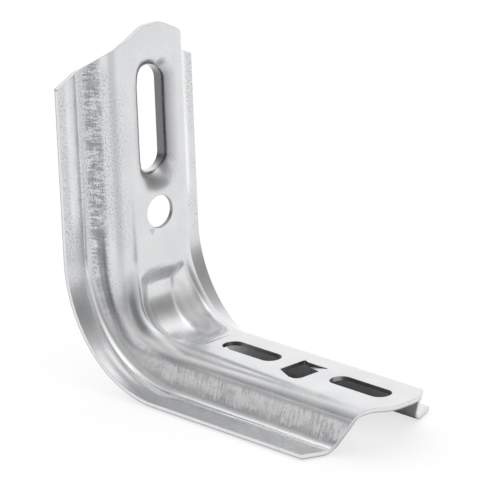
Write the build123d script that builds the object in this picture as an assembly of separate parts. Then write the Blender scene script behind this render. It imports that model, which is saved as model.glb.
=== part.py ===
from build123d import *
import math
import os

# Pressed cable tray bracket: one sheet of galvanised steel with a hat section, bent from a wall leg into
# an arm. Millimetres. The wall plane is x = 0, the arm points along +X, and the origin lies in the wall
# plane behind the centre of the wall hole.

# Sheet and hat section
sheet = 1.5
section_depth = 15.0
crown_corner = 13.2
root_corner = 18.3
shoulder_radius = 6.0
root_radius = 3.5
leg_width = 56.0
tip_width = 54.0

# Side view
leg_above_hole = 60.8
arm_below_hole = 52.0
reach = 122.2
bend_radius = 39.0

# End outline of the leg and of the arm: how far it lies back from its crest at each fold of the section
crest_half_width = 6.0
shoulder_setback = 6.0
root_setback = 13.6
corner_setback = 17.6
nose_radius = 10.0
fold_radius = 3.0

# Wall hole, and the slot above it, whose rim is rolled inwards
wall_hole_diameter = 10.5
wall_slot_width = 10.5
wall_slot_length = 34.0
wall_slot_height = 29.7
wall_slot_rim = 3.7
wall_slot_depth = 6.3

# Two slots along the arm
tray_slot_width = 7.0
tray_slot_length = 23.5
tray_slot_reach = 55.1
tray_slot_spacing = 47.5

# Skewed square hole near the middle between the slots, and the small tongue pressed down beside it
clip_hole_length = 10.4
clip_hole_width = 10.6
clip_hole_lean = 23.0
clip_hole_shift = -0.35
clip_hole_offset = -2.2
clip_corner_radius = 0.5
clip_round_radius = 2.5
tongue_beyond_hole = 5.6
tongue_beside_hole = 6.2
tongue_length = 7.0
tongue_width = 3.2
tongue_gap = 0.4
tongue_angle = 8.0

# Pocket that stiffens the inside of the bend: its floor takes a squarer corner, its side walls lean out
pocket_half_width = 6.6
pocket_sink = 2.5
pocket_leg_length = 18.2
pocket_arm_length = 20.0
pocket_wall_lean = 36.0
pocket_inside_radius = 14.0
pocket_end_radius = 4.0
pocket_edge_radius = 3.0
pocket_rim = 2.0

# Places and views that follow from the sizes above
arm_back = -arm_below_hole
blank_half_width = (leg_width + tip_width) / 2
beyond = 2 * section_depth
whole_height = leg_above_hole + arm_below_hole
clip_hole_reach = tray_slot_reach + tray_slot_spacing / 2 + clip_hole_shift
wall_view = Plane(origin=(0, 0, 0), x_dir=(0, 1, 0), z_dir=(1, 0, 0))
leg_view = Plane(origin=(0, 0, 0), x_dir=(0, 0, 1), z_dir=(1, 0, 0))
tray_view = Plane(origin=(0, 0, arm_back), x_dir=(1, 0, 0), z_dir=(0, 0, 1))
side_view = Plane(origin=(0, 0, arm_back), x_dir=(1, 0, 0), z_dir=(0, -1, 0))
leg_end = Plane(origin=(0, 0, leg_above_hole), x_dir=(0, -1, 0), z_dir=(0, 0, 1))
arm_end = Plane(origin=(reach, 0, arm_back), x_dir=(0, 1, 0), z_dir=(1, 0, 0))


def hat_outline(inset):
    """The open hat outline from flange to flange, moved into the sheet by inset."""
    slope = (root_corner - crown_corner) / (section_depth - sheet)
    shift = inset * ((1 + slope**2) ** 0.5 - slope)
    flange = sheet - inset
    folds = [(root_corner - shift, flange), (crown_corner - shift, section_depth - inset)]
    right = [(blank_half_width, flange), *folds]
    left = [(-y, height) for y, height in reversed(right)]
    root = root_radius + inset
    shoulder = shoulder_radius - inset
    return FilletPolyline(*right, *left, radius=[root, shoulder, shoulder, root])


def hat_section(inset):
    """The hat outline closed behind the flanges."""
    face_side = hat_outline(inset)
    back = Polyline(face_side @ 1, (-blank_half_width, -inset), (blank_half_width, -inset), face_side @ 0)
    return make_face([face_side, back])


def hat(inset):
    """The solid hat, swept down the leg, round the bend and out along the arm."""
    path = FilletPolyline((0, 0, leg_above_hole), (0, 0, arm_back), (reach, 0, arm_back), radius=bend_radius)
    start = Plane(origin=(0, 0, leg_above_hole), x_dir=(0, 1, 0), z_dir=(0, 0, -1))
    return sweep(start * hat_section(inset), path=path)


def pocket_profile(inset):
    """The pocket in the side view: a squarer corner than the bend, led out at 45 degrees at both ends."""
    floor = section_depth - pocket_sink
    leg_side = floor + pocket_leg_length
    arm_side = floor + pocket_arm_length
    rise = section_depth
    points = [
        (arm_side + rise, floor + rise),
        (arm_side, floor),
        (floor, floor),
        (floor, leg_side),
        (floor + rise, leg_side + rise),
    ]
    radii = [0, pocket_end_radius, pocket_inside_radius, pocket_end_radius, 0]
    outline = make_face(FilletPolyline(*points, radius=radii, close=True))
    return offset(outline, amount=inset) if inset > 0 else outline


def pocket_trough(inset):
    """The trough between the pocket's leaning side walls, swept along the pocket's floor."""
    floor = section_depth - pocket_sink
    lean = math.radians(pocket_wall_lean)
    foot = pocket_half_width + inset / math.cos(lean)
    low = -2 * inset - 1
    high = pocket_inside_radius - 1
    right = [(foot + height * math.tan(lean), height) for height in (low, high)]
    left = [(-y, height) for y, height in reversed(right)]
    corners = [(floor, 0, leg_above_hole), (floor, 0, arm_back + floor), (reach, 0, arm_back + floor)]
    path = FilletPolyline(*corners, radius=pocket_inside_radius)
    start = Plane(origin=corners[0], x_dir=(0, 1, 0), z_dir=(0, 0, -1))
    return sweep(start * make_face(Polyline(*right, *left, close=True)), path=path)


def pocket_space(inset):
    """The space inside the pocket, with soft edges where its floor meets its side walls."""
    block = extrude(side_view * pocket_profile(inset), amount=section_depth, both=True) & pocket_trough(inset)
    floors = [face for face in block.faces() if abs(face.normal_at().Y) < 0.01]
    floors = [face for face in floors if face.normal_at().X + face.normal_at().Z < 0.5]
    sides = [edge for face in floors for edge in face.edges() if abs(edge.tangent_at(0.5).Y) < 0.5]
    return fillet(sides, pocket_edge_radius + inset)


def wall_slot_space(inset):
    """The space inside the wall slot's rolled rim. The rim's sheet ends at the depth of the rim."""
    outline = SlotOverall(wall_slot_length + 2 * inset, wall_slot_width + 2 * inset, rotation=90)
    deep = wall_slot_depth if inset > 0 else section_depth
    place = wall_view * Pos(0, wall_slot_height, section_depth - deep)
    return extrude(place * outline, amount=deep + beyond)


def wall_slot_mouth(body):
    """The loop of edges that the wall slot leaves in the flat crown of the leg."""
    loops = [wire for face in body.faces().filter_by(GeomType.PLANE) for wire in face.inner_wires()]
    return max(loops, key=lambda wire: wire.center().X).edges()


def form(inset):
    """The pressed form as a solid, its skin moved into the sheet by inset."""
    plain = hat(inset)
    pocket = pocket_space(inset)
    body = plain - pocket
    body = fillet(new_edges(plain, pocket, combined=body), pocket_rim - inset)
    body = body - wall_slot_space(inset)
    return fillet(wall_slot_mouth(body), wall_slot_rim - inset)


def end_trim(view, length, width):
    """What is kept at one end, seen in plan: a nose on the crown, and flanges that lie back from it."""
    slope = (corner_setback - root_setback) / (width / 2 - root_corner)
    right = [
        (length - root_setback - slope * (blank_half_width - root_corner), blank_half_width),
        (length - root_setback, root_corner),
        (length - shoulder_setback, crown_corner),
        (length, crest_half_width),
    ]
    left = [(x, -y) for x, y in reversed(right)]
    radii = [fold_radius, fold_radius, nose_radius]
    nose = FilletPolyline(*right, *left, radius=[*radii, *reversed(radii)])
    start = -(arm_below_hole + beyond)
    back = Polyline(nose @ 1, (start, -blank_half_width), (start, blank_half_width), nose @ 0)
    return extrude(view * make_face([nose, back]), amount=whole_height + reach, both=True)


def side_trim():
    """What is kept of the flanges, seen from above: they narrow a little towards the tip."""
    narrowing = (leg_width - tip_width) / 2 / reach
    start = leg_width / 2 + narrowing * beyond
    end = tip_width / 2 - narrowing * beyond
    right = [(-beyond, start), (reach + beyond, end)]
    left = [(x, -y) for x, y in reversed(right)]
    outline = Polyline(*right, *left, close=True)
    return extrude(tray_view * make_face(outline), amount=whole_height + beyond, both=True)


def square_edge(end, trim):
    """What still goes at one end beside its crown, so that the cut stays square to the sheet in the folds."""
    outline = hat_outline(0).edges()
    folds = [edge for edge in outline if edge not in outline.filter_by(Axis.X)]
    places = [abs(vertex.X) for edge in folds for vertex in edge.vertices()]
    width = max(places) - min(places)
    middle = Pos((max(places) + min(places)) / 2, 0) * Rectangle(width, 2 * beyond)
    inwards = end.z_dir * -(corner_setback + sheet)
    waste = extrude(end * (middle + mirror(middle, about=Plane.YZ)), dir=inwards, amount=inwards.length)
    for edge in folds:
        skin = Face.extrude(end * edge, inwards) & trim
        waste = waste - thicken(skin, amount=1.5 * sheet, both=True)
    return waste


def wall_hole():
    """Round hole through the crown of the leg."""
    return extrude(wall_view * Circle(wall_hole_diameter / 2), amount=beyond)


def clip_hole():
    """The skewed square hole in plan: its sides along the arm lean, and one corner of it is rounder."""
    far = clip_hole_length / 2
    half = clip_hole_width / 2
    drop = far * math.tan(math.radians(clip_hole_lean))
    corners = [(far, -half - drop), (far, half - drop), (-far, half + drop), (-far, -half + drop)]
    radii = [clip_round_radius, clip_corner_radius, clip_corner_radius, clip_corner_radius]
    return Pos(clip_hole_reach, clip_hole_offset) * make_face(FilletPolyline(*corners, radius=radii, close=True))


def tray_holes():
    """Two slots in line along the arm, and the skewed hole between them."""
    slot = SlotOverall(tray_slot_length, tray_slot_width)
    slots = [Pos(tray_slot_reach + place * tray_slot_spacing, 0) * slot for place in range(2)]
    outlines = slots[0] + slots[1] + clip_hole()
    return extrude(tray_view * Pos(0, 0, section_depth / 2) * outlines, amount=section_depth)


def tongue_window(gap):
    """The stretch of the arm's crown that the tongue takes up, with a gap along its far edge."""
    outline = Rectangle(tongue_length, tongue_width + gap, align=(Align.MAX, Align.MIN))
    root = clip_hole_reach + tongue_beyond_hole
    near_edge = clip_hole_offset + tongue_beside_hole - tongue_width
    return extrude(tray_view * Pos(root, near_edge, section_depth / 2) * outline, amount=section_depth)


def press_tongue(body):
    """The tongue stays joined at its root, and its free end at the skewed hole lies below the crown."""
    tongue = body & tongue_window(0)
    hinge = Pos(clip_hole_reach + tongue_beyond_hole, 0, arm_back + section_depth)
    pressed = hinge * Rot(0, -tongue_angle, 0) * hinge.inverse() * tongue
    return body - tongue_window(tongue_gap) + pressed


bracket = form(0) - form(sheet)
bracket = bracket & side_trim()
leg_trim = end_trim(leg_view, leg_above_hole, leg_width)
arm_trim = end_trim(tray_view, reach, tip_width)
bracket = bracket & leg_trim & arm_trim
bracket = bracket - square_edge(leg_end, leg_trim) - square_edge(arm_end, arm_trim)
bracket = bracket - wall_hole() - tray_holes()
bracket = press_tongue(bracket)

os.makedirs("parts", exist_ok=True)
export_step(bracket, "parts/bracket.step")
print("bracket volume", round(bracket.volume, 1), "valid", bracket.is_valid, "solids", len(bracket.solids()))
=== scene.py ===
from collections import namedtuple
from math import acos, atan2, ceil, cos, hypot, pi, radians, sin, tan

import bpy
import numpy as np
from mathutils import Matrix, Vector
from mathutils.geometry import delaunay_2d_cdt
from mathutils.kdtree import KDTree


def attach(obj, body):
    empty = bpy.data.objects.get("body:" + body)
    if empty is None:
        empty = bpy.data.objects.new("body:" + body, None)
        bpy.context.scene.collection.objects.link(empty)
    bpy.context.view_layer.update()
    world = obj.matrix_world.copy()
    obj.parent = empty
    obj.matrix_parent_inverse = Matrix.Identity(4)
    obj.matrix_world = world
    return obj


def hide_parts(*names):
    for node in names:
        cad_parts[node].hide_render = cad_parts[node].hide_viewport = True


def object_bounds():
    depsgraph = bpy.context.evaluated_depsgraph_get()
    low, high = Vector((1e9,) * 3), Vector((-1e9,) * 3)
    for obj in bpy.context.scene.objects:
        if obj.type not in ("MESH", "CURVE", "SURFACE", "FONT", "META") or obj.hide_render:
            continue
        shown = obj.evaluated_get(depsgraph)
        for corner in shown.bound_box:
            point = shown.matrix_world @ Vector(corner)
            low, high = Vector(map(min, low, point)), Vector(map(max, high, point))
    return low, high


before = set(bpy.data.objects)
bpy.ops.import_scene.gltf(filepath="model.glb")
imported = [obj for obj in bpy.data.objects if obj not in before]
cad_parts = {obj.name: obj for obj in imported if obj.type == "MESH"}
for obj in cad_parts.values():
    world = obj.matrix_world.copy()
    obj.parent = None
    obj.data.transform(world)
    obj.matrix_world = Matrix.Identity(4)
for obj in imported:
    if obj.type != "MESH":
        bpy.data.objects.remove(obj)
cad_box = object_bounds()

# Every place and size below is in millimetres unless it says otherwise. The scene itself is in metres.
MM = 0.001

# Camera: a long lens, a little above the arm and turned towards the near side. The target lies off the
# middle of the picture by so much to the right and upwards. The clips are in metres.
CAMERA_HEADING = radians(42.4196)
CAMERA_PITCH = radians(18.0015)
CAMERA_ROLL = radians(-2.2046)
CAMERA_TARGET = Vector((40, 0, -12)) * MM
CAMERA_DISTANCE = 1084.6652 * MM
TARGET_RIGHT = -7.5453 * MM
TARGET_UP = -7.4762 * MM
CAMERA_LENS = 262.5
CAMERA_SENSOR = 36
CAMERA_CLIP = (0.01, 20)

# Studio light by direction: where it comes from, inner and outer half angle of the soft cone, added level.
STUDIO_LEVEL = 0.77
STUDIO_DARKEST = 0.12
STUDIO_PANELS = (
    ((-0.58, 0.38, 0.72), 40, 69, 0.29),
    ((0.45, 0.20, 0.87), 5, 38, 0.34),
    ((-0.37, -0.75, 0.55), 12, 24, 0.23),
    ((0.55, 0.71, 0.44), 5, 47, -0.45),
    ((-0.59, -0.80, 0.07), 9, 64, -0.38),
    ((-0.33, -0.50, 0.80), 5, 30, -0.29),
    ((0.59, -0.49, 0.64), 5, 44, -0.32),
)

# Floor, in metres. Where it is seen it glows, less where the bracket covers the sky.
FLOOR_HALF_SIZE = 6.0
FLOOR_DROP = 0.0005
FLOOR_COLOUR = 0.80
FLOOR_SHADOW_SHARE = 0.40
FLOOR_GLOW = 0.70
FLOOR_COVER_REACH = 0.05
FLOOR_COVER_SAMPLES = 8
FLOOR_OPEN_SKY = (0.05, 0.75)

# Sheet and section, as in the part's source. The outer sizes come from the frame.
LEG_HALF_WIDTH = round(cad_box[1][1] / MM, 3)
LEG_TOP = round(cad_box[1][2] / MM, 3)
ARM_BACK = round(cad_box[0][2] / MM, 3)
REACH = round(cad_box[1][0] / MM, 3)
TIP_HALF_WIDTH = 27.0
SHEET = 1.5
SECTION_DEPTH = 15.0
CROWN_CORNER = 13.2
ROOT_CORNER = 18.3
SHOULDER_RADIUS = 6.0
ROOT_RADIUS = 3.5
BEND_RADIUS = 39.0
BEND_CENTRE_Z = ARM_BACK + BEND_RADIUS

# Each end's outline at the folds: distance from the middle, how far it lies back from its crest, radius.
LEG_FOLDS = ((3.6, 0.0, 5.0), (CROWN_CORNER, 4.8, 5.0), (ROOT_CORNER, 12.8, 4.0))
ARM_FOLDS = ((6.0, 0.0, 10.0), (CROWN_CORNER, 6.4, 3.0), (ROOT_CORNER, 13.8, 3.0))
CORNER_SETBACK = 17.6

# Wall hole, and the slot above it. Its rim is rolled inwards in two arcs: at the sides both have one
# radius, at the ends the first is wide and makes a soft dish. A ramp is a straight rise from 0 to 1, given
# by its slope and by what is taken off.
WALL_HOLE_RADIUS = 5.25
WALL_SLOT_Z = 29.7
WALL_SLOT_RADIUS = 5.25
WALL_SLOT_HALF_STRAIGHT = 11.75
WALL_SLOT_DEPTH = 6.3
SLOT_SIDE_ROLL = 3.7
SLOT_DISH_ROLL = 10.0
SLOT_END_ROLL = 3.2
SLOT_ROLL_TURN = radians(42)
SLOT_END_RAMP = (1.6, 0.45)
SLOT_ROLL_MARGIN = 0.5
SLOT_BLANK_INSET = 2.5

TRAY_SLOTS = (55.1, 102.6)
TRAY_SLOT_RADIUS = 3.5
TRAY_SLOT_HALF_STRAIGHT = 8.25

# Skewed hole in the arm, and the small tongue pressed down beside it
CLIP_HOLE = (78.5, -2.2)
CLIP_HALF = (5.2, 5.3)
CLIP_LEAN = radians(23)
CLIP_DROP = CLIP_HALF[0] * tan(CLIP_LEAN)
CLIP_CORNER_RADIUS = 0.5
CLIP_ROUND_RADIUS = 2.5
TONGUE_ROOT = 84.1
TONGUE_NEAR_EDGE = 0.9
TONGUE_FAR_EDGE = 4.0
TONGUE_MARGIN = 0.6
TONGUE_GAP = 0.4
TONGUE_ANGLE = radians(8)
SLIT_MOUTH_RADIUS = 0.15
SLIT_END_RADIUS = 0.1

# Pocket pressed into the bend. Its far wall is steeper, and its edges are softer than the part's source has.
# The end limit keeps each end wall out of the other half of the bend.
POCKET_FLOOR = 12.5
POCKET_HALF_WIDTH = 6.6
POCKET_LEG_LENGTH = 18.2
POCKET_ARM_LENGTH = 21.4
POCKET_LEAN = radians(36)
POCKET_FAR_LEAN = radians(27)
POCKET_RADIUS = 14.0
POCKET_FOOT_BLEND = 4.2
POCKET_RIM_BLEND = 3.4
POCKET_LEG_BLEND = 5.0
POCKET_ARM_BLEND = 9.0
POCKET_END_LIMIT = 0.2

# The flat blank: "along" runs down the leg, round the bend and out along the arm, "across" from the middle.
FLANK_TURN = atan2(SECTION_DEPTH - SHEET, ROOT_CORNER - CROWN_CORNER)
CROWN_HALF = CROWN_CORNER - SHOULDER_RADIUS * tan(FLANK_TURN / 2)
ROOT_END = ROOT_CORNER + ROOT_RADIUS * tan(FLANK_TURN / 2)
SHOULDER_END_ACROSS = CROWN_HALF + SHOULDER_RADIUS * FLANK_TURN
FLANK_LENGTH = (hypot(SECTION_DEPTH - SHEET, ROOT_CORNER - CROWN_CORNER)
                - (SHOULDER_RADIUS + ROOT_RADIUS) * tan(FLANK_TURN / 2))
FLANK_END_ACROSS = SHOULDER_END_ACROSS + FLANK_LENGTH
ROOT_END_ACROSS = FLANK_END_ACROSS + ROOT_RADIUS * FLANK_TURN
BEND_SCALE = 30.0
BEND_START = LEG_TOP - BEND_CENTRE_Z
BEND_END = BEND_START + BEND_SCALE * pi / 2
BLANK_LENGTH = BEND_END + REACH - BEND_RADIUS

# In the middle of the bend the crown sinks by a share of the section's height, and its shoulders spread.
SQUASH_ALONG = 98.0
SQUASH_LENGTH = 12.0
SQUASH_SINK = 0.09
SQUASH_SPREAD = 1.6
SQUASH_FADE = 10.0

# Slight ridges and grooves that the press left beside the folds: height, place and half width across the
# blank, place and half length along it. One more ridge grows on the shoulder over a stretch of the arm.
RIPPLES = (
    (-0.50, 22.4, 1.3, 80, 13),
    (0.34, 25.2, 0.9, 83, 12),
    (-0.16, 31.2, 1.3, 112, 16),
)
SHOULDER_RIDGE = (0.32, 14.9, 2.1)
SHOULDER_RIDGE_START = 110
SHOULDER_RIDGE_GROWTH = 24

# Painted shade inside the rolled rim of the wall slot: its width and fall, and a fainter ring of painted
# shade in the dish below the slot
RIM_SHADE_WIDTH = 4.2
RIM_SHADE_FALL = 1.3
RIM_SIDE_RAMP = (1.6, 0.5)
DISH_SHADE = 0.34
DISH_SHADE_RING = (2.6, 1.9)
DISH_BELOW_RAMP = (1.5, 0.3)

# Cut edges: radius of their softening, and the depth under the face of the walls' rows of points
EDGE_ROUND = 0.15
BURR_DEPTH = 0.9
WALL_ROWS = (EDGE_ROUND, BURR_DEPTH, SHEET - EDGE_ROUND)

# Spacing of the mesh: chords of arcs, points along the blank's ends and sides, and the grid's stretches
# as (start, end, spacing)
ARC_CHORD = 0.35
END_CHORD = 0.2
CLIP_CHORD = 0.12
CLIP_SPACING = 0.28
WALL_SLOT_CHORD = 0.3
WALL_HOLE_POINTS = 96
END_SPACING = 0.4
SIDE_SPACING = 0.8
RIM_CLEARANCE = 0.3
PAST_WALL_HOLE = LEG_TOP + 8
GRID_HALF_WIDTH = 36.0
GRID_ALONG = (
    (0, PAST_WALL_HOLE, 0.8),
    (PAST_WALL_HOLE, BEND_START, 0.9),
    (BEND_START, BEND_END, 0.55),
    (BEND_END, BLANK_LENGTH, 0.9),
)
GRID_ACROSS = (
    (0, CROWN_HALF, 0.65),
    (CROWN_HALF, SHOULDER_END_ACROSS, 0.55),
    (SHOULDER_END_ACROSS, FLANK_END_ACROSS, 0.8),
    (FLANK_END_ACROSS, ROOT_END_ACROSS, 0.4),
    (ROOT_END_ACROSS, GRID_HALF_WIDTH, 0.9),
)
ACROSS_TABLE_MARGIN = 10.0
ACROSS_TABLE_POINTS = 4001
MITRE_LIMIT = 0.5
NORMAL_STEP = 0.02
MERGE_REACH = 1e-7
MM_PER_UV = 100.0

# Noise on the flat blank: count per millimetre along and across it, detail, roughness and seed.
STROKES = (1.1, 0.15, 6.0, 0.72, 3.1)
PATCHES = (0.16, 0.24, 3.0, 0.6, 11.7)
MOTTLE = (0.07, 0.09, 3.0, 0.55, 5.3)
GRAIN = (1.8, 2.1, 3.0, 0.75, 1.9)
DIRT = (0.05, 0.06, 2.0, 0.5, 21.0)
WAVE = (0.10, 0.13, 1.0, 0.4, 8.8)
ROLLED_LINES = (0.03, 2.6, 2.0, 0.6, 14.2)
CUT_LINES = (5.0, 5.0, 3.0, 0.6, 6.0)

# A band is 0 up to its first place, 1 between its second and third, and 0 from its last one on.
# The worn area starts on the shoulder and ends on the flank, further out in the bend than on the leg.
LEG_RUN = (None, None, 66, 96)
FOLD_SWELL = (80, 97, 97, 116)
LOW_FLANK = (19.0, 21.0, 25.0, 26.8)
POLISHED_ROOT = (25.6, 26.6, 28.6, 29.8)
WORN_SHOULDER = (16.4, 18.4)
WORN_RUN = (88, 116)
WORN_EDGE = (62, 100, 19.8, 22.6)
WORN_EDGE_REACH = 9.0
WORN_EDGE_SOFTNESS = (1.4, -1.6)
FRESH_MARKS = (0.88, 1.08)
DIRT_DOTS = (0.50, 0.61)
DIRT_PATCH = (0.30, 0.56)
DIRT_BY_MIDDLE = (10, 17, 0.25, 1.0)
MOTTLE_TINT = (0.35, 0.65)
MOTTLE_ROUGHNESS = (0.30, 0.70, 0.20, 0.31)
ROLLED_LINE_EDGE = (0.58, 0.75)
CUT_TINT = (0.35, 0.68)
CUT_ROUGHNESS = (0.3, 0.7, 0.28, 0.38)

# Colours of the steel, and how far they show. The flank's dark band is stronger on the leg, and the worn
# area is pale all over, most of all in its fresh strokes.
ZINC_DULL = (0.715, 0.722, 0.742, 1)
ZINC_BRIGHT = (0.775, 0.780, 0.785, 1)
GRAIN_COLOUR = (0.36, 0.37, 0.40, 1)
FLANK_BAND_COLOUR = (0.28, 0.285, 0.31, 1)
SCUFF_COLOUR = (0.36, 0.365, 0.39, 1)
WORN_COLOUR = (0.99, 0.99, 1.0, 1)
# Painted shade of a small dent below the wall hole
NICK_SHADE_COLOUR = (0.30, 0.30, 0.31, 1)
# Painted shade on the wall slot's rolled rim and in the dish below it
RIM_SHADE_COLOUR = (0.14, 0.14, 0.15, 1)
CUT_BRIGHT = (0.84, 0.84, 0.85, 1)
CUT_DULL = (0.74, 0.74, 0.75, 1)
# Painted shade on the holes' walls and the outer edge's last row, where the cut's fracture zone is also
# darker
CUT_SHADE_AND_FRACTURE_COLOUR = (0.22, 0.22, 0.23, 1)
GRAIN_SHARE = 0.85
FLANK_BAND_SHARE = 0.14
FLANK_BAND_MORE_ON_LEG = 0.74
PALE_SHARE = 0.15
PALE_MORE_IN_STROKES = 0.85
SCUFF_SHARE = 0.50
WORN_SHARE = 0.85
NICK_SHADE_SHARE = 0.38
RIM_SHADE_SHARE = 0.92
CUT_SHADE_AND_FRACTURE_SHARE = 0.8
WORN_ROUGHNESS = 0.25
DIRT_ROUGHNESS = 0.15
POLISHED_ROUGHNESS = 0.10

# Painted shade and painted highlights along the folds and round the pocket: dark lines in the groove, along
# the leg's fold, in the crease, beside the pocket's rim and at the leg's root, and light areas on the
# shoulder's fold, the pocket's floor and the flanges. Each is a band across the blank, measured from its
# middle, a band along it, colour and strength. Some follow the shoulder's fold, which swells outwards in the
# bend by so many millimetres, and some show on the inside of the sheet too.
Mark = namedtuple("Mark", "across along colour strength follows both_sides", defaults=(0.0, False))
GROOVE_SHADE_MARK = Mark((20.5, 21.6, 23.2, 24.3), (60, 70, 86, 97), (0.25, 0.255, 0.27, 1), 0.78)
FOLD_SHADE_MARK = Mark((13.6, 15.4, 16.0, 17.8), LEG_RUN, (0.42, 0.425, 0.45, 1), 0.50, both_sides=True)
CREASE_SHADE_MARK = Mark((15.3, 16.6, 17.0, 18.3), (84, 98, None, None), (0.34, 0.345, 0.36, 1), 0.40, follows=5.0)
SHEEN_HIGHLIGHT_MARK = Mark((10.6, 12.4, 14.0, 15.8), (88, 98, 145, 170), (0.98, 0.98, 0.99, 1), 0.85,
                  follows=4.4, both_sides=True)
POCKET_RIM_SHADE_MARK = Mark((11.9, 13.4, 14.2, 15.7), (83, 90, 99, 105), (0.27, 0.275, 0.29, 1), 0.75)
POCKET_ARM_HIGHLIGHT_MARK = Mark((None, None, 8.0, 11.0), (94, 99, 115, 121), (0.97, 0.97, 0.98, 1), 0.80)
POCKET_LEG_HIGHLIGHT_MARK = Mark((None, None, 8.0, 11.0), (81, 86, 86, 91), (0.97, 0.97, 0.98, 1), 0.24)
LEG_FLANGE_HIGHLIGHT_MARK = Mark((28.8, 30.0, 31.6, 33.6), (None, None, 58, 68), (0.98, 0.98, 0.99, 1), 0.85)
BEND_FLANGE_HIGHLIGHT_MARK = Mark((29.0, 30.4, None, None), (94, 99, 107, 114), (0.98, 0.98, 0.99, 1), 0.85)
ROOT_SHADE_MARK = Mark((25.6, 26.6, 27.2, 28.2), LEG_RUN, (0.36, 0.365, 0.38, 1), 0.32)

# The bright line along the root of the flank, a painted highlight where the tool also rubbed and polished
# it: it steps inwards after the bend, and it sparkles.
RUBBED_HIGHLIGHT_LINE = (118, 124, 28.2, 26.8)
RUBBED_HIGHLIGHT_HALF_WIDTH = (1.7, 0.6)
RUBBED_HIGHLIGHT_RUN = (76, 84)
RUBBED_HIGHLIGHT_SPARKLE = (0.38, 0.54, 0.55, 1.0)
RUBBED_HIGHLIGHT_COLOUR = (1.0, 1.0, 1.0, 1)
RUBBED_HIGHLIGHT_SHARE = 0.95

# Where the painted highlights turn less metallic, so that they scatter the light and read paler: run along
# the blank, and share
HIGHLIGHT_SCATTER_SHEEN = 0.6
HIGHLIGHT_SCATTER_ROOT = (104, 110, 0.0, 0.6)
HIGHLIGHT_SCATTER_ROOT_END = (126, 121)
HIGHLIGHT_SCATTER_POCKET = (103, 110, 0.0, 0.45)

# Painted shade of a small three-cornered dent below the wall hole, in colour only: its place on the blank,
# tip, slope and soft edges
NICK_PLACE = (LEG_TOP + 6.1, -3.6)
NICK_TIP = 1.3
NICK_SLOPE = 0.55
NICK_SIDE_EDGE = (-0.15, 0.35)
NICK_TOP_EDGE = (-1.6, -1.0)

# Relief of the steel in millimetres
WAVE_HEIGHT = 0.16
GRAIN_HEIGHT = 0.009
ROLLED_LINE_DEPTH = 0.004
STROKE_HEIGHT = 0.05
CUT_LINE_HEIGHT = 0.01


class Nodes:
    """A short way to write a node tree."""

    def __init__(self, tree):
        self.tree = tree
        tree.nodes.clear()

    def add(self, kind, inputs=(), **settings):
        """A node with its settings, and inputs that are values or other nodes' outputs."""
        node = self.tree.nodes.new(kind)
        for name, value in settings.items():
            setattr(node, name, value)
        for key, value in dict(inputs).items():
            if isinstance(value, bpy.types.NodeSocket):
                self.tree.links.new(value, node.inputs[key])
            else:
                node.inputs[key].default_value = value
        return node

    def math(self, operation, *values, clamp=False):
        node = self.add("ShaderNodeMath", dict(enumerate(values)), operation=operation, use_clamp=clamp)
        return node.outputs[0]

    def times(self, first, *others):
        for other in others:
            first = self.math("MULTIPLY", first, other)
        return first

    def plus(self, first, *others):
        for other in others:
            first = self.math("ADD", first, other)
        return first

    def minus(self, a, b):
        return self.math("SUBTRACT", a, b)

    def vector(self, operation, *values):
        node = self.add("ShaderNodeVectorMath", dict(enumerate(values)), operation=operation)
        return node.outputs["Value" if operation == "DOT_PRODUCT" else "Vector"]

    def attribute(self, name):
        return self.add("ShaderNodeAttribute", attribute_name=name).outputs["Fac"]

    def noise(self, place, along, across, detail, rough, seed):
        """Noise with a count per millimetre along the sheet and one across it."""
        spread = self.vector("MULTIPLY", place, (along, across, 1.0))
        moved = self.vector("ADD", spread, (seed, seed * 0.7, 0.0))
        return self.add("ShaderNodeTexNoise",
                        {"Vector": moved, "Scale": 1.0, "Detail": detail, "Roughness": rough}).outputs["Fac"]

    def span(self, value, low, high, out_low=0.0, out_high=1.0, smooth=True):
        """Goes from out_low at low to out_high at high, and stays there beyond them."""
        node = self.add("ShaderNodeMapRange",
                        {0: value, 1: low, 2: high, 3: out_low, 4: out_high},
                        interpolation_type="SMOOTHSTEP" if smooth else "LINEAR")
        return node.outputs[0]

    def band(self, value, start, full_from, full_to, end):
        """1 from full_from to full_to, falling softly to 0 at start and at end. None leaves a side open."""
        if start is None:
            return self.span(value, end, full_to)
        rise = self.span(value, start, full_from)
        return rise if end is None else self.times(rise, self.span(value, end, full_to))

    def grey(self, value):
        return self.add("ShaderNodeCombineColor", {0: value, 1: value, 2: value}).outputs[0]

    def blend(self, factor, a, b):
        """Colour a where the factor is 0, and b where it is 1."""
        return self.add("ShaderNodeMix", {0: factor, 6: a, 7: b}, data_type="RGBA").outputs[2]


def place_camera():
    """A camera that looks at the bracket from its front near side."""
    right = Vector((sin(CAMERA_HEADING), cos(CAMERA_HEADING), 0))
    forward = -Vector((cos(CAMERA_PITCH) * cos(CAMERA_HEADING),
                       -cos(CAMERA_PITCH) * sin(CAMERA_HEADING),
                       sin(CAMERA_PITCH)))
    up = right.cross(forward)
    rolled_right = cos(CAMERA_ROLL) * right + sin(CAMERA_ROLL) * up
    rolled_up = -sin(CAMERA_ROLL) * right + cos(CAMERA_ROLL) * up
    place = (CAMERA_TARGET - TARGET_RIGHT * rolled_right - TARGET_UP * rolled_up
             - CAMERA_DISTANCE * forward)
    data = bpy.data.cameras.new("camera")
    data.lens = CAMERA_LENS
    data.sensor_width = CAMERA_SENSOR
    data.clip_start, data.clip_end = CAMERA_CLIP
    camera = bpy.data.objects.new("camera", data)
    turn = Matrix((rolled_right, rolled_up, -forward)).transposed().to_4x4()
    camera.matrix_world = Matrix.Translation(place) @ turn
    bpy.context.scene.collection.objects.link(camera)
    bpy.context.scene.camera = camera


def soft_lobe(nodes, direction, towards, inner, outer):
    """1 inside a cone about a direction, falling softly to 0 outside it."""
    aim = Vector(towards).normalized()
    facing = nodes.vector("DOT_PRODUCT", direction, tuple(aim))
    return nodes.span(facing, cos(radians(outer)), cos(radians(inner)))


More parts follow.
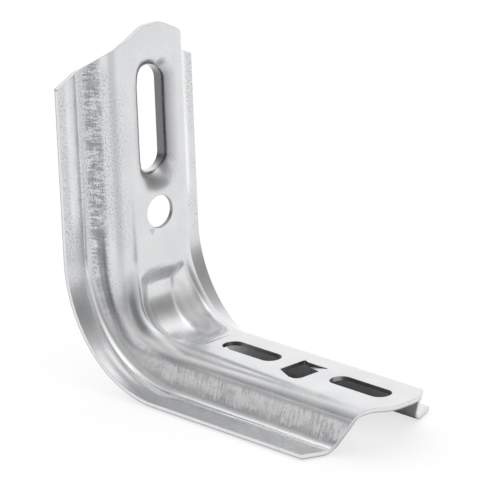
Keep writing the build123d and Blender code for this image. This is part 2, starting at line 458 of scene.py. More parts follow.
def light_world():
    """A pale studio: brightest behind the bracket on the left, darker in front and behind on the right."""
    world = bpy.data.worlds.new("studio")
    world.use_nodes = True
    bpy.context.scene.world = world
    nodes = Nodes(world.node_tree)
    direction = nodes.add("ShaderNodeTexCoord").outputs["Generated"]
    level = STUDIO_LEVEL
    for towards, inner, outer, strength in STUDIO_PANELS:
        level = nodes.plus(level, nodes.times(soft_lobe(nodes, direction, towards, inner, outer), strength))
    level = nodes.math("MAXIMUM", level, STUDIO_DARKEST)
    camera_ray = nodes.add("ShaderNodeLightPath").outputs["Is Camera Ray"]
    level = nodes.math("MAXIMUM", level, camera_ray)
    background = nodes.add("ShaderNodeBackground", {0: nodes.grey(level), 1: 1.0})
    nodes.add("ShaderNodeOutputWorld", {0: background.outputs[0]})


def new_material(name):
    """A material with an empty node tree."""
    material = bpy.data.materials.new(name)
    material.use_nodes = True
    return material, Nodes(material.node_tree)


def pale_floor():
    """Pale paint, which turns into a white glow with a faint shadow where it or its mirror image is seen."""
    material, nodes = new_material("pale_floor")
    paint = nodes.add("ShaderNodeBsdfDiffuse", {0: (*[FLOOR_COLOUR] * 3, 1)})
    faint = nodes.add("ShaderNodeBsdfDiffuse", {0: (*[FLOOR_SHADOW_SHARE] * 3, 1)})
    cover = nodes.add("ShaderNodeAmbientOcclusion", {"Distance": FLOOR_COVER_REACH},
                      samples=FLOOR_COVER_SAMPLES)
    open_sky = nodes.span(cover.outputs["AO"], *FLOOR_OPEN_SKY)
    path = nodes.add("ShaderNodeLightPath")
    lift = nodes.times(nodes.math("MAXIMUM", open_sky, path.outputs["Is Camera Ray"]), FLOOR_GLOW)
    glow = nodes.add("ShaderNodeEmission", {0: (1, 1, 1, 1), 1: lift})
    shown = nodes.add("ShaderNodeAddShader", {0: faint.outputs[0], 1: glow.outputs[0]})
    seen = nodes.math("MAXIMUM", path.outputs["Is Camera Ray"], path.outputs["Is Glossy Ray"])
    seen = nodes.math("MAXIMUM", seen, path.outputs["Is Transmission Ray"])
    both = nodes.add("ShaderNodeMixShader", {0: seen, 1: paint.outputs[0], 2: shown.outputs[0]})
    nodes.add("ShaderNodeOutputMaterial", {0: both.outputs[0]})
    return material


def make_floor():
    """A plain pale floor just under the arm."""
    size = FLOOR_HALF_SIZE
    height = cad_box[0][2] - FLOOR_DROP
    mesh = bpy.data.meshes.new("floor")
    mesh.from_pydata([(-size, -size, height), (size, -size, height),
                      (size, size, height), (-size, size, height)], [], [(0, 1, 2, 3)])
    mesh.materials.append(pale_floor())
    floor = bpy.data.objects.new("floor", mesh)
    bpy.context.scene.collection.objects.link(floor)


def soft_max(a, b, width):
    """The larger of two values, rounded over where they lie within a width of each other."""
    overlap = np.maximum(width - np.abs(a - b), 0)
    return np.maximum(a, b) + overlap**2 / (4 * width)


def soft_min(a, b, width):
    """The smaller of two values, rounded over in the same way."""
    return -soft_max(-a, -b, width)


def smooth(share):
    """0 below 0 and 1 above 1, with a soft start and end between them."""
    share = np.clip(share, 0, 1)
    return share**2 * (3 - 2 * share)


def ramp(value, slope, taken_off):
    """A straight rise from 0 to 1."""
    return np.clip(slope * value - taken_off, 0, 1)


def mound(value, middle, width):
    """A smooth hump of height 1."""
    return np.exp(-((value - middle) / width)**2)


def unit(vectors):
    return vectors / np.maximum(np.linalg.norm(vectors, axis=-1, keepdims=True), 1e-12)


def fold_turns(across):
    """How far the section has turned down at the shoulder, and back again at the root, in radians."""
    place = np.abs(across)
    down = np.clip((place - CROWN_HALF) / SHOULDER_RADIUS, 0, FLANK_TURN)
    back = np.clip((place - FLANK_END_ACROSS) / ROOT_RADIUS, 0, FLANK_TURN)
    return down, back


def section(across):
    """The hat section: distance from the middle and height, for each place across the blank."""
    place = np.abs(across)
    down, back = fold_turns(across)
    flank = np.clip(place - SHOULDER_END_ACROSS, 0, FLANK_LENGTH)
    flange = np.maximum(place - ROOT_END_ACROSS, 0)
    aside = (np.minimum(place, CROWN_HALF) + SHOULDER_RADIUS * np.sin(down) + flank * cos(FLANK_TURN)
             + ROOT_RADIUS * (sin(FLANK_TURN) - np.sin(FLANK_TURN - back)) + flange)
    height = (SECTION_DEPTH - SHOULDER_RADIUS * (1 - np.cos(down)) - flank * sin(FLANK_TURN)
              - ROOT_RADIUS * (np.cos(FLANK_TURN - back) - cos(FLANK_TURN)))
    return np.sign(across) * aside, height


def squashed(along, across, aside, height):
    """The section with its crown sunk a little and its shoulders spread in the middle of the bend."""
    place = np.abs(across)
    share = mound(along, SQUASH_ALONG, SQUASH_LENGTH)
    spread = smooth(place / CROWN_CORNER) * (1 - smooth((place - SHOULDER_END_ACROSS) / SQUASH_FADE))
    return aside + np.sign(across) * SQUASH_SPREAD * share * spread, height * (1 - SQUASH_SINK * share)


def press_ripple(along, across):
    """Height of the slight ridges and grooves that the press left beside the folds."""
    place = np.abs(across)
    rise, middle, width = SHOULDER_RIDGE
    grown = np.clip((along - SHOULDER_RIDGE_START) / SHOULDER_RIDGE_GROWTH, 0, 1)
    total = rise * mound(place, middle, width) * grown
    for rise, middle, width, station, length in RIPPLES:
        total = total + rise * mound(place, middle, width) * mound(along, station, length)
    return total


def pocket_distance(angle, aside):
    """How far the pocket's skin lies from the bend's centre line, seen at an angle round the bend."""
    c, s = np.cos(angle), np.sin(angle)
    room = BEND_RADIUS - POCKET_FLOOR
    corner = room - POCKET_RADIUS

    def rounded_corner(rise):
        radius = POCKET_RADIUS - rise
        root = np.maximum((corner * (c + s))**2 - 2 * corner**2 + radius**2, 0)
        arc = corner * (c + s) + np.sqrt(root)
        straight = (room - rise) / np.maximum(c, s)
        on_arc = (arc * np.minimum(c, s) > corner) & (root > 0)
        return np.where(on_arc, arc, straight)

    floor = rounded_corner(np.zeros_like(angle))
    lean = np.where(aside > 0, POCKET_FAR_LEAN, POCKET_LEAN)
    wall = rounded_corner((np.abs(aside) - POCKET_HALF_WIDTH) / np.tan(lean))
    leg_way = POCKET_LEG_LENGTH / np.maximum(c - s, POCKET_END_LIMIT)
    arm_way = POCKET_ARM_LENGTH / np.maximum(s - c, POCKET_END_LIMIT)
    bowl = soft_min(floor, wall, POCKET_FOOT_BLEND)
    return soft_min(soft_min(bowl, leg_way, POCKET_LEG_BLEND), arm_way, POCKET_ARM_BLEND)


def from_wall_slot(aside, z):
    """The nearest place on the slot's middle line, the distance from it, and the direction away from it."""
    over = z - WALL_SLOT_Z
    centre = np.clip(over, -WALL_SLOT_HALF_STRAIGHT, WALL_SLOT_HALF_STRAIGHT)
    reach = np.maximum(np.hypot(aside, over - centre), 1e-6)
    return centre, reach, aside / reach, (over - centre) / reach


def roll_slot_rim(aside, z, height):
    """Rolls the crown inwards round the wall slot, with a soft dish at both ends of the slot."""
    centre, reach, out_y, out_z = from_wall_slot(aside, z)
    end = ramp(np.abs(out_z), *SLOT_END_RAMP)
    first = SLOT_SIDE_ROLL + (SLOT_DISH_ROLL - SLOT_SIDE_ROLL) * end
    second = SLOT_SIDE_ROLL + (SLOT_END_ROLL - SLOT_SIDE_ROLL) * end
    turn = SLOT_ROLL_TURN
    start = first * sin(turn) + second * (1 - sin(turn))
    sunk = first * (1 - cos(turn)) + second * cos(turn)
    first_length = first * turn
    both_length = first_length + second * (pi / 2 - turn)
    whole = both_length + WALL_SLOT_DEPTH - sunk
    way = (start - (reach - WALL_SLOT_RADIUS)) * whole / (start + SLOT_BLANK_INSET)
    a = np.clip(way / first, 0, turn)
    b = np.clip((way - first_length) / second, 0, pi / 2 - turn) + turn
    straight = np.maximum(way - both_length, 0)
    gap = start - first * np.sin(a) - second * (np.sin(b) - sin(turn))
    depth = first * (1 - np.cos(a)) + second * (cos(turn) - np.cos(b)) + straight
    near = (way > 0) & (np.abs(aside) < CROWN_HALF + SLOT_ROLL_MARGIN)
    reach_now = WALL_SLOT_RADIUS + gap
    return (np.where(near, out_y * reach_now, aside),
            np.where(near, WALL_SLOT_Z + centre + out_z * reach_now, z),
            np.where(near, height - depth, height))


def on_tongue(x, aside):
    """Where the small pressed tongue lies: between the skewed hole's far edge and its slit."""
    far_edge = CLIP_HOLE[1] + CLIP_HALF[1] - CLIP_DROP * (x - CLIP_HOLE[0]) / CLIP_HALF[0]
    return ((x < TONGUE_ROOT) & (x > CLIP_HOLE[0] - CLIP_HALF[0])
            & (aside > np.maximum(far_edge, TONGUE_NEAR_EDGE) - TONGUE_MARGIN)
            & (aside < TONGUE_FAR_EDGE + TONGUE_GAP / 2))


def face_skin(along, across):
    """Points of the sheet's face side for places on the flat blank."""
    aside, height = squashed(along, across, *section(across))
    down, back = fold_turns(across)
    ripple = press_ripple(along, across)
    aside = aside + np.sign(across) * ripple * np.sin(down - back)
    height = height + ripple * np.cos(down - back)
    leg_y, leg_z, leg_x = roll_slot_rim(aside, LEG_TOP - along, height)
    angle = np.clip((along - BEND_START) / BEND_SCALE, 0, pi / 2)
    distance = soft_max(BEND_RADIUS - height, pocket_distance(angle, aside), POCKET_RIM_BLEND)
    bend_x = BEND_RADIUS - distance * np.cos(angle)
    bend_z = BEND_CENTRE_Z - distance * np.sin(angle)
    arm_x = BEND_RADIUS + along - BEND_END
    drop = np.where(on_tongue(arm_x, aside), (TONGUE_ROOT - arm_x) * tan(TONGUE_ANGLE), 0)
    leg = along < BEND_START
    arm = along > BEND_END
    x = np.where(leg, leg_x, np.where(arm, arm_x, bend_x))
    y = np.where(leg, leg_y, aside)
    z = np.where(leg, leg_z, np.where(arm, ARM_BACK + height - drop, bend_z))
    return np.stack([x, y, z], axis=-1)


def face_normal(along, across):
    """Directions square to the sheet on its face side."""
    step = NORMAL_STEP
    down = face_skin(along + step, across) - face_skin(along - step, across)
    sideways = face_skin(along, across + step) - face_skin(along, across - step)
    return unit(np.cross(down, sideways))


def rim_shade(along, across):
    """Painted shade on the slot's rolled rim, from 0 to 1 by how far the rim is turned in towards a side
    wall, and a fainter ring of it in the dish below the slot, for each place on the blank.
    """
    _, reach, out_y, out_z = from_wall_slot(across, LEG_TOP - along)
    turned = np.clip((WALL_SLOT_RADIUS + RIM_SHADE_WIDTH - reach) / RIM_SHADE_WIDTH, 0, 1)**RIM_SHADE_FALL
    side = turned * ramp(np.abs(out_y), *RIM_SIDE_RAMP)
    past_slot, width = DISH_SHADE_RING
    dish = DISH_SHADE * mound(reach, WALL_SLOT_RADIUS + past_slot, width) * ramp(-out_z, *DISH_BELOW_RAMP)
    return np.maximum(side, dish) * (along < BEND_START)


def rounded_outline(corners, radii, closed=True, chord=ARC_CHORD):
    """Points along an outline with arcs at its corners."""
    corners = [np.array(c, float) for c in corners]
    count = len(corners)
    points = []
    for i, corner in enumerate(corners):
        if not closed and i in (0, count - 1) or radii[i] == 0:
            points.append(corner)
            continue
        before = unit(corners[i - 1] - corner)
        after = unit(corners[(i + 1) % count] - corner)
        half = acos(max(-1, min(1, float(before @ after)))) / 2
        radius = radii[i]
        centre = corner + unit(before + after) * radius / sin(half)
        start = corner + before * radius / tan(half) - centre
        end = corner + after * radius / tan(half) - centre
        sweep = pi - 2 * half
        steps = max(2, ceil(radius * sweep / chord))
        for k in range(steps + 1):
            f = k / steps
            points.append(centre + (sin((1 - f) * sweep) * start + sin(f * sweep) * end) / sin(sweep))
    return np.array(points)


def evenly(points, spacing):
    """The same open line with points at an even spacing."""
    gaps = np.linalg.norm(np.diff(points, axis=0), axis=1)
    run = np.concatenate([[0], np.cumsum(gaps)])
    places = np.linspace(0, run[-1], max(2, int(round(run[-1] / spacing)) + 1))
    return np.stack([np.interp(places, run, points[:, k]) for k in range(2)], axis=1)


def evenly_closed(points, spacing):
    """The same closed line with points at an even spacing."""
    return evenly(np.vstack([points, points[:1]]), spacing)[:-1]


def stadium(centre, half_straight, radius, chord=ARC_CHORD):
    """The outline of a slot that lies along the blank."""
    steps = ceil(pi * radius / chord)
    turn = np.linspace(-pi / 2, pi / 2, steps + 1)
    right = np.stack([half_straight + radius * np.cos(turn), radius * np.sin(turn)], axis=1)
    return evenly_closed(np.vstack([right, -right]) + centre, chord)


def across_of(aside):
    """Place across the blank of a point at a distance from the middle of the pressed section."""
    table = np.linspace(0, ROOT_END_ACROSS + ACROSS_TABLE_MARGIN, ACROSS_TABLE_POINTS)
    return np.sign(aside) * np.interp(np.abs(aside), section(table)[0], table)


def along_of(x):
    """Place along the blank of a point on the arm."""
    return x - BEND_RADIUS + BEND_END


def end_line(folds, half_width):
    """Distance of an end's outline from its crest, from its near corner to its far one."""
    right = [(y, back) for y, back, radius in folds]
    radii = [radius for y, back, radius in folds]
    right.append((half_width, CORNER_SETBACK))
    radii.append(0)
    corners = [(-y, back) for y, back in reversed(right)] + right
    return rounded_outline(corners, radii[::-1] + radii, closed=False, chord=END_CHORD)


def blank_outline():
    """The edge of the flat blank, running anticlockwise in (along, across)."""
    top = end_line(LEG_FOLDS, LEG_HALF_WIDTH)
    tip = end_line(ARM_FOLDS, TIP_HALF_WIDTH)
    leg_edge = evenly(np.stack([top[:, 1], across_of(top[:, 0])], axis=1)[::-1], END_SPACING)
    arm_edge = evenly(np.stack([BLANK_LENGTH - tip[:, 1], across_of(tip[:, 0])], axis=1), END_SPACING)
    along = np.arange(leg_edge[-1, 0] + SIDE_SPACING, arm_edge[0, 0] - END_SPACING, SIDE_SPACING)
    angle = np.clip((along - BEND_START) / BEND_SCALE, 0, pi / 2)
    x = np.where(along > BEND_END, BEND_RADIUS + along - BEND_END,
                 BEND_RADIUS - (BEND_RADIUS - SHEET) * np.cos(angle))
    narrowing = (LEG_HALF_WIDTH - TIP_HALF_WIDTH) / REACH
    edge = ROOT_END_ACROSS + LEG_HALF_WIDTH - narrowing * x - ROOT_END
    near = np.stack([along, -edge], axis=1)
    far = np.stack([along, edge], axis=1)[::-1]
    return np.vstack([leg_edge, near, arm_edge, far])


def clip_outline():
    """The skewed hole with the tongue's slit at its far side."""
    x, y = CLIP_HOLE
    half_x, half_y = CLIP_HALF
    slit = (TONGUE_FAR_EDGE, TONGUE_FAR_EDGE + TONGUE_GAP)
    mouth = [x - half_x + (y + half_y + CLIP_DROP - side) / tan(CLIP_LEAN) for side in slit]
    corners = (
        (x - half_x, y - half_y + CLIP_DROP, CLIP_CORNER_RADIUS),
        (x + half_x, y - half_y - CLIP_DROP, CLIP_ROUND_RADIUS),
        (x + half_x, y + half_y - CLIP_DROP, CLIP_CORNER_RADIUS),
        (mouth[0], slit[0], SLIT_MOUTH_RADIUS),
        (TONGUE_ROOT, slit[0], SLIT_END_RADIUS),
        (TONGUE_ROOT, slit[1], SLIT_END_RADIUS),
        (mouth[1], slit[1], SLIT_MOUTH_RADIUS),
        (x - half_x, y + half_y + CLIP_DROP, CLIP_CORNER_RADIUS),
    )
    points = rounded_outline([corner[:2] for corner in corners], [corner[2] for corner in corners],
                             chord=CLIP_CHORD)
    line = evenly_closed(points, CLIP_SPACING)
    return np.stack([along_of(line[:, 0]), across_of(line[:, 1])], axis=1)


def hole_outlines():
    """The holes of the blank, running clockwise in (along, across)."""
    turn = np.linspace(0, 2 * pi, WALL_HOLE_POINTS, endpoint=False)
    circle = WALL_HOLE_RADIUS * np.stack([np.cos(turn), np.sin(turn)], axis=1)
    holes = [circle + (LEG_TOP, 0)]
    holes.append(stadium((LEG_TOP - WALL_SLOT_Z, 0), WALL_SLOT_HALF_STRAIGHT,
                         WALL_SLOT_RADIUS - SLOT_BLANK_INSET, WALL_SLOT_CHORD))
    for x in TRAY_SLOTS:
        holes.append(stadium((along_of(x), 0), TRAY_SLOT_HALF_STRAIGHT, TRAY_SLOT_RADIUS))
    holes.append(clip_outline())
    return [hole[::-1] for hole in holes]


def outward(loop):
    """Directions in the blank that point off the sheet, for a loop with the sheet on its left."""
    before = unit(loop - np.roll(loop, 1, axis=0))
    after = unit(np.roll(loop, -1, axis=0) - loop)
    sides = [np.stack([d[:, 1], -d[:, 0]], axis=1) for d in (before, after)]
    mean = unit(sides[0] + sides[1])
    return mean / np.maximum(np.sum(mean * sides[1], axis=1, keepdims=True), MITRE_LIMIT)


def inside(points, loop):
    """Whether points lie inside a closed line."""
    result = np.zeros(len(points), bool)
    px, py = points[:, 0], points[:, 1]
    low, high = loop.min(axis=0), loop.max(axis=0)
    near = (px > low[0]) & (px < high[0]) & (py > low[1]) & (py < high[1])
    qx, qy = px[near], py[near]
    flag = np.zeros(len(qx), bool)
    for a, b in zip(loop, np.roll(loop, -1, axis=0)):
        if a[1] == b[1]:
            continue
        crosses = (a[1] > qy) != (b[1] > qy)
        flag ^= crosses & (qx < a[0] + (qy - a[1]) * (b[0] - a[0]) / (b[1] - a[1]))
    result[near] = flag
    return result


def on_sheet(points, loops):
    """Whether points lie inside the blank's edge and outside its holes."""
    keep = inside(points, loops[0])
    for hole in loops[1:]:
        keep &= ~inside(points, hole)
    return keep


def grid_lines(stretches):
    """Places of the grid's lines over all the stretches."""
    lines = [np.linspace(a, b, max(2, int(round((b - a) / gap)) + 1))[:-1] for a, b, gap in stretches]
    return np.concatenate([*lines, [stretches[-1][1]]])


def blank_grid(loops):
    """Points inside the blank, closer together where the sheet is folded, and clear of its rims."""
    half = grid_lines(GRID_ACROSS)
    side = np.concatenate([-half[:0:-1], half])
    along, across = np.meshgrid(grid_lines(GRID_ALONG), side, indexing="ij")
    points = np.stack([along.ravel(), across.ravel()], axis=1)
    points = points[on_sheet(points, loops)]
    rims = KDTree(sum(len(loop) for loop in loops))
    for i, p in enumerate(np.vstack(loops)):
        rims.insert((p[0], p[1], 0), i)
    rims.balance()
    clear = [rims.find((p[0], p[1], 0))[2] > RIM_CLEARANCE for p in points]
    return points[np.array(clear)]


def ring_pairs(loops):
    """The number of each rim point and of the next one, round every loop."""
    first = 0
    for loop in loops:
        size = len(loop)
        for i in range(size):
            yield first + i, first + (i + 1) % size
        first += size


def flat_mesh(loops):
    """Points of the flat blank, the rims first, and the triangles between them."""
    flat = np.vstack([*loops, blank_grid(loops)])
    made, _, triangles, sources, _, _ = delaunay_2d_cdt([Vector(p) for p in flat], list(ring_pairs(loops)),
                                                        [], 0, MERGE_REACH)
    if len(made) != len(flat):
        raise RuntimeError("the blank's outline crosses itself")
    order = np.array([source[0] for source in sources])
    triangles = order[np.array(triangles)]
    return flat, triangles[on_sheet(flat[triangles].mean(axis=1), loops)]


def shell_points(flat, edge):
    """Points of both skins and of the walls' rows, with their normals and their places on the blank."""
    face, normal = face_skin(*flat.T), face_normal(*flat.T)
    rim, rim_normal = face_skin(*edge.T), face_normal(*edge.T)
    sideways = unit(rim - face[:len(edge)])
    rows = [rim - depth * rim_normal for depth in WALL_ROWS]
    points = np.vstack([face, face - SHEET * normal, *rows])
    normals = np.vstack([normal, -normal, *[sideways for row in rows]])
    places = np.vstack([flat, flat, *[edge for row in rows]])
    return points, normals, places


def wall_faces(loops, count, rims):
    """Faces from skin to skin round every loop, by way of the walls' rows."""
    faces = []
    for pair in ring_pairs(loops):
        here, there = [(k, *(k + 2 * count + row * rims for row in range(len(WALL_ROWS))), k + count)
                       for k in pair]
        faces += [(there[k], here[k], here[k + 1], there[k + 1]) for k in range(len(here) - 1)]
    return faces


def shade_and_fracture_share(places, count, rims, outer):
    """How dark each point is painted: painted shade on the slot's rolled rim and in its dish, and on the
    holes' walls and the outer edge's last row, where the cut's fracture zone is also darker.
    """
    share = rim_shade(places[:, 0], places[:, 1])
    walls = share[2 * count:].reshape(len(WALL_ROWS), rims)
    walls[:, outer:] = 1
    walls[:, :outer] = 0
    walls[-1, :outer] = 1
    return share


def add_attribute(mesh, name, values):
    mesh.attributes.new(name, "FLOAT", "POINT").data.foreach_set("value", values.astype(np.float32))


def make_bracket():
    """The pressed sheet as one closed shell: two skins, and walls with softened edges round every cut."""
    outlines = [blank_outline(), *hole_outlines()]
    loops = [loop - EDGE_ROUND * outward(loop) for loop in outlines]
    flat, triangles = flat_mesh(loops)
    edge = np.vstack(outlines)
    count, rims = len(flat), len(edge)
    points, normals, places = shell_points(flat, edge)
    skins = [tuple(t) for t in triangles] + [tuple(count + t[::-1]) for t in triangles]
    walls = wall_faces(loops, count, rims)

    mesh = bpy.data.meshes.new("pressed_bracket")
    mesh.from_pydata((points * MM).tolist(), [], skins + walls)
    corner = np.zeros(len(mesh.loops), np.int32)
    mesh.loops.foreach_get("vertex_index", corner)
    layer = mesh.uv_layers.new(name="sheet")
    layer.data.foreach_set("uv", (places[corner] / MM_PER_UV).astype(np.float32).ravel())
    # Painted shade on the slot's rolled rim, its dish and the holes' walls, with the cut's darker fracture
    # zone.
    add_attribute(mesh, "shade_and_fracture", shade_and_fracture_share(places, count, rims, len(loops[0])))
    # The worn strokes, and the painted shade and highlights that are not on both sides, show on the face
    # side only, so this value is 0 on the inside of the sheet.
    numbers = np.arange(len(points))
    add_attribute(mesh, "face_side", (numbers < count) | (numbers >= 2 * count))
    mesh.polygons.foreach_set("use_smooth", np.ones(len(mesh.polygons), bool))
    slots = np.zeros(len(mesh.polygons), np.int32)
    slots[len(skins):] = 1
    mesh.polygons.foreach_set("material_index", slots)
    mesh.normals_split_custom_set_from_vertices(normals.tolist())
    mesh.update()
    piece = bpy.data.objects.new("pressed_bracket", mesh)
    bpy.context.scene.collection.objects.link(piece)
    return piece


def blank_place(nodes):
    """Where a shaded point lies on the flat blank, in millimetres."""
    flat = nodes.add("ShaderNodeUVMap", uv_map="sheet").outputs[0]
    return nodes.vector("MULTIPLY", flat, (MM_PER_UV, MM_PER_UV, 0.0))


class Sheet:
    """What the steel's marks go by: the place on the blank, the mesh's own values, and two wide bands."""

    def __init__(self, nodes):
        self.place = blank_place(nodes)
        parts = nodes.add("ShaderNodeSeparateXYZ", {0: self.place})
        self.along, self.across = parts.outputs[0], parts.outputs[1]
        self.middle = nodes.math("ABSOLUTE", self.across)
        self.face_side = nodes.attribute("face_side")
        self.shade_and_fracture = nodes.attribute("shade_and_fracture")
        self.leg = nodes.band(self.along, *LEG_RUN)
        self.swell = nodes.band(self.along, *FOLD_SWELL)


def mark_share(nodes, sheet, mark):
    """How much of a mark shows, before its strength."""
    middle = sheet.middle
    if mark.follows:
        middle = nodes.minus(middle, nodes.times(sheet.swell, mark.follows))
    share = nodes.times(nodes.band(middle, *mark.across), nodes.band(sheet.along, *mark.along))
    return share if mark.both_sides else nodes.times(share, sheet.face_side)


def add_marks(nodes, sheet, tint, *marks):
    """The colour with marks laid over it one after the other."""
    for mark in marks:
        tint = nodes.blend(nodes.times(mark_share(nodes, sheet, mark), mark.strength), tint, mark.colour)
    return tint


def worn_share(nodes, sheet, strokes, patches):
    """Where the arm's flank is worn: from the shoulder to a ragged soft edge that the strokes make."""
    reach = nodes.times(nodes.minus(nodes.plus(strokes, patches), 1.0), WORN_EDGE_REACH)
    edge = nodes.plus(nodes.span(sheet.along, *WORN_EDGE), reach)
    before_edge = nodes.span(nodes.minus(sheet.middle, edge), *WORN_EDGE_SOFTNESS)
    return nodes.times(nodes.span(sheet.middle, *WORN_SHOULDER), before_edge,
                       nodes.span(sheet.along, *WORN_RUN), sheet.face_side)


def dirt_dots(nodes, sheet, grain):
    """Dark grain in patches on the leg, most of it outside the crown."""
    outer = nodes.span(sheet.middle, *DIRT_BY_MIDDLE)
    patch = nodes.span(nodes.noise(sheet.place, *DIRT), *DIRT_PATCH)
    return nodes.times(nodes.span(grain, *DIRT_DOTS), outer, patch, sheet.leg)


def rubbed_root_highlight(nodes, sheet, grain):
    """The painted highlight along the root of the flank, which the tool also rubbed and polished."""
    line = nodes.span(sheet.along, *RUBBED_HIGHLIGHT_LINE)
    away = nodes.math("ABSOLUTE", nodes.minus(sheet.middle, line))
    return nodes.times(nodes.span(away, *RUBBED_HIGHLIGHT_HALF_WIDTH), nodes.span(grain, *RUBBED_HIGHLIGHT_SPARKLE),
                       nodes.span(sheet.along, *RUBBED_HIGHLIGHT_RUN))


def nick_shade_share(nodes, sheet):
    """Painted shade of the small three-cornered dent below the wall hole."""
    down = nodes.minus(sheet.along, NICK_PLACE[0])
    aside = nodes.math("ABSOLUTE", nodes.minus(sheet.across, NICK_PLACE[1]))
    room = nodes.times(nodes.minus(NICK_TIP, down), NICK_SLOPE)
    return nodes.times(nodes.span(nodes.minus(room, aside), *NICK_SIDE_EDGE),
                       nodes.span(down, *NICK_TOP_EDGE))


def highlight_scatter_share(nodes, sheet, rubbed_highlight):
    """Where the painted highlights are made less metallic, so that they scatter the light and read paler."""
    sheen = nodes.times(mark_share(nodes, sheet, SHEEN_HIGHLIGHT_MARK), sheet.swell, HIGHLIGHT_SCATTER_SHEEN)
    root = nodes.times(rubbed_highlight, nodes.span(sheet.along, *HIGHLIGHT_SCATTER_ROOT),
                       nodes.span(sheet.along, *HIGHLIGHT_SCATTER_ROOT_END))
    pocket = nodes.times(mark_share(nodes, sheet, POCKET_ARM_HIGHLIGHT_MARK),
                         nodes.span(sheet.along, *HIGHLIGHT_SCATTER_POCKET))
    return nodes.times(nodes.plus(sheen, root, pocket), sheet.face_side)


def satin_metal(nodes, tint, metal_share, roughness, relief):
    """The surface itself, with its relief in millimetres."""
    bump = nodes.add("ShaderNodeBump", {"Strength": 1.0, "Distance": MM, "Height": relief})
    metal = nodes.add("ShaderNodeBsdfPrincipled", {"Base Color": tint, "Metallic": metal_share,
                                                   "Roughness": roughness, "Normal": bump.outputs[0]})
    nodes.add("ShaderNodeOutputMaterial", {0: metal.outputs[0]})


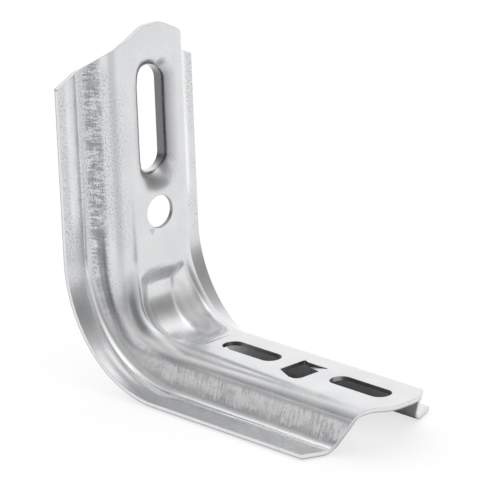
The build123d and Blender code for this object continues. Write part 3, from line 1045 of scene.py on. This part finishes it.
def galvanised_steel():
    """Zinc-coated steel: soft mottling, fine grain, wear on the flanks, and painted shade and painted
    highlights along the folds, round the pocket and round the wall slot.
    """
    material, nodes = new_material("galvanised_steel")
    sheet = Sheet(nodes)
    strokes, patches, mottle, grain = [nodes.noise(sheet.place, *noise)
                                       for noise in (STROKES, PATCHES, MOTTLE, GRAIN)]
    worn = worn_share(nodes, sheet, strokes, patches)
    dots = dirt_dots(nodes, sheet, grain)
    rubbed_highlight = rubbed_root_highlight(nodes, sheet, grain)

    # Short strokes across the flanks: dark on the leg's flank, fresh and pale or scuffed on the arm's.
    marks = nodes.plus(strokes, nodes.times(nodes.plus(patches, grain), 0.5))
    fresh = nodes.span(marks, *FRESH_MARKS)
    dark = nodes.times(nodes.band(sheet.middle, *LOW_FLANK), fresh, sheet.face_side,
                       nodes.plus(nodes.times(sheet.leg, FLANK_BAND_MORE_ON_LEG), FLANK_BAND_SHARE))
    pale = nodes.times(worn, nodes.plus(nodes.times(fresh, PALE_MORE_IN_STROKES), PALE_SHARE))
    scuffed = nodes.times(worn, nodes.minus(1.0, fresh))

    tint = nodes.blend(nodes.span(mottle, *MOTTLE_TINT), ZINC_DULL, ZINC_BRIGHT)
    tint = nodes.blend(nodes.times(dots, GRAIN_SHARE), tint, GRAIN_COLOUR)
    tint = nodes.blend(dark, tint, FLANK_BAND_COLOUR)
    tint = nodes.blend(nodes.times(scuffed, SCUFF_SHARE), tint, SCUFF_COLOUR)
    tint = nodes.blend(nodes.times(pale, WORN_SHARE), tint, WORN_COLOUR)
    # Painted shade in the groove, along the leg's fold and in the crease.
    tint = add_marks(nodes, sheet, tint, GROOVE_SHADE_MARK, FOLD_SHADE_MARK, CREASE_SHADE_MARK)
    # Painted highlight along the flank's root, where the tool also polished it.
    tint = nodes.blend(nodes.times(rubbed_highlight, sheet.face_side, RUBBED_HIGHLIGHT_SHARE), tint, RUBBED_HIGHLIGHT_COLOUR)
    # Painted highlights on the shoulder's fold, the pocket and the flanges, and painted shade beside the
    # pocket's rim and at the leg's root.
    tint = add_marks(nodes, sheet, tint, SHEEN_HIGHLIGHT_MARK, POCKET_RIM_SHADE_MARK, POCKET_ARM_HIGHLIGHT_MARK, POCKET_LEG_HIGHLIGHT_MARK,
                     LEG_FLANGE_HIGHLIGHT_MARK, BEND_FLANGE_HIGHLIGHT_MARK, ROOT_SHADE_MARK)
    # Painted shade of the small dent below the wall hole.
    tint = nodes.blend(nodes.times(nick_shade_share(nodes, sheet), NICK_SHADE_SHARE), tint, NICK_SHADE_COLOUR)
    # Painted shade on the wall slot's rolled rim and in the dish below it.
    tint = nodes.blend(nodes.times(sheet.shade_and_fracture, RIM_SHADE_SHARE), tint, RIM_SHADE_COLOUR)

    # Satin zinc, duller where it is worn or dirty, polished where the root slid over the tool.
    roughness = nodes.plus(nodes.span(mottle, *MOTTLE_ROUGHNESS, smooth=False),
                           nodes.times(worn, WORN_ROUGHNESS), nodes.times(dots, DIRT_ROUGHNESS))
    polished = nodes.band(sheet.middle, *POLISHED_ROOT)
    roughness = nodes.minus(roughness, nodes.times(polished, POLISHED_ROUGHNESS))
    # The worn area and the painted highlights lose some of their metal, so that they scatter the light and
    # read paler.
    metal_share = nodes.math("SUBTRACT", nodes.minus(1.0, nodes.times(pale, WORN_SHARE)),
                             highlight_scatter_share(nodes, sheet, rubbed_highlight), clamp=True)

    # A slight waviness, the grain, fine lines from the rolling mill, and the strokes of the worn area.
    lines = nodes.span(nodes.noise(sheet.place, *ROLLED_LINES), *ROLLED_LINE_EDGE)
    relief = nodes.plus(nodes.times(nodes.noise(sheet.place, *WAVE), WAVE_HEIGHT),
                        nodes.times(grain, GRAIN_HEIGHT), nodes.times(strokes, worn, STROKE_HEIGHT))
    relief = nodes.minus(relief, nodes.times(lines, ROLLED_LINE_DEPTH))
    satin_metal(nodes, tint, metal_share, roughness, relief)
    return material


def cut_steel():
    """The sheared edge of the sheet: bright bare steel with fine lines through its thickness."""
    material, nodes = new_material("cut_steel_edge")
    lines = nodes.noise(blank_place(nodes), *CUT_LINES)
    tint = nodes.blend(nodes.span(lines, *CUT_TINT), CUT_BRIGHT, CUT_DULL)
    # Painted shade on the holes' walls and the outer edge's last row, where the cut's fracture zone is also
    # darker.
    shade_and_fracture = nodes.times(nodes.attribute("shade_and_fracture"), CUT_SHADE_AND_FRACTURE_SHARE)
    tint = nodes.blend(shade_and_fracture, tint, CUT_SHADE_AND_FRACTURE_COLOUR)
    roughness = nodes.span(lines, *CUT_ROUGHNESS, smooth=False)
    satin_metal(nodes, tint, 1.0, roughness, nodes.times(lines, CUT_LINE_HEIGHT))
    return material


bpy.context.scene.view_settings.view_transform = "Standard"
place_camera()
light_world()
make_floor()
steel = galvanised_steel()
piece = make_bracket()
piece.data.materials.append(steel)
piece.data.materials.append(cut_steel())
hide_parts("bracket")
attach(piece, "root")
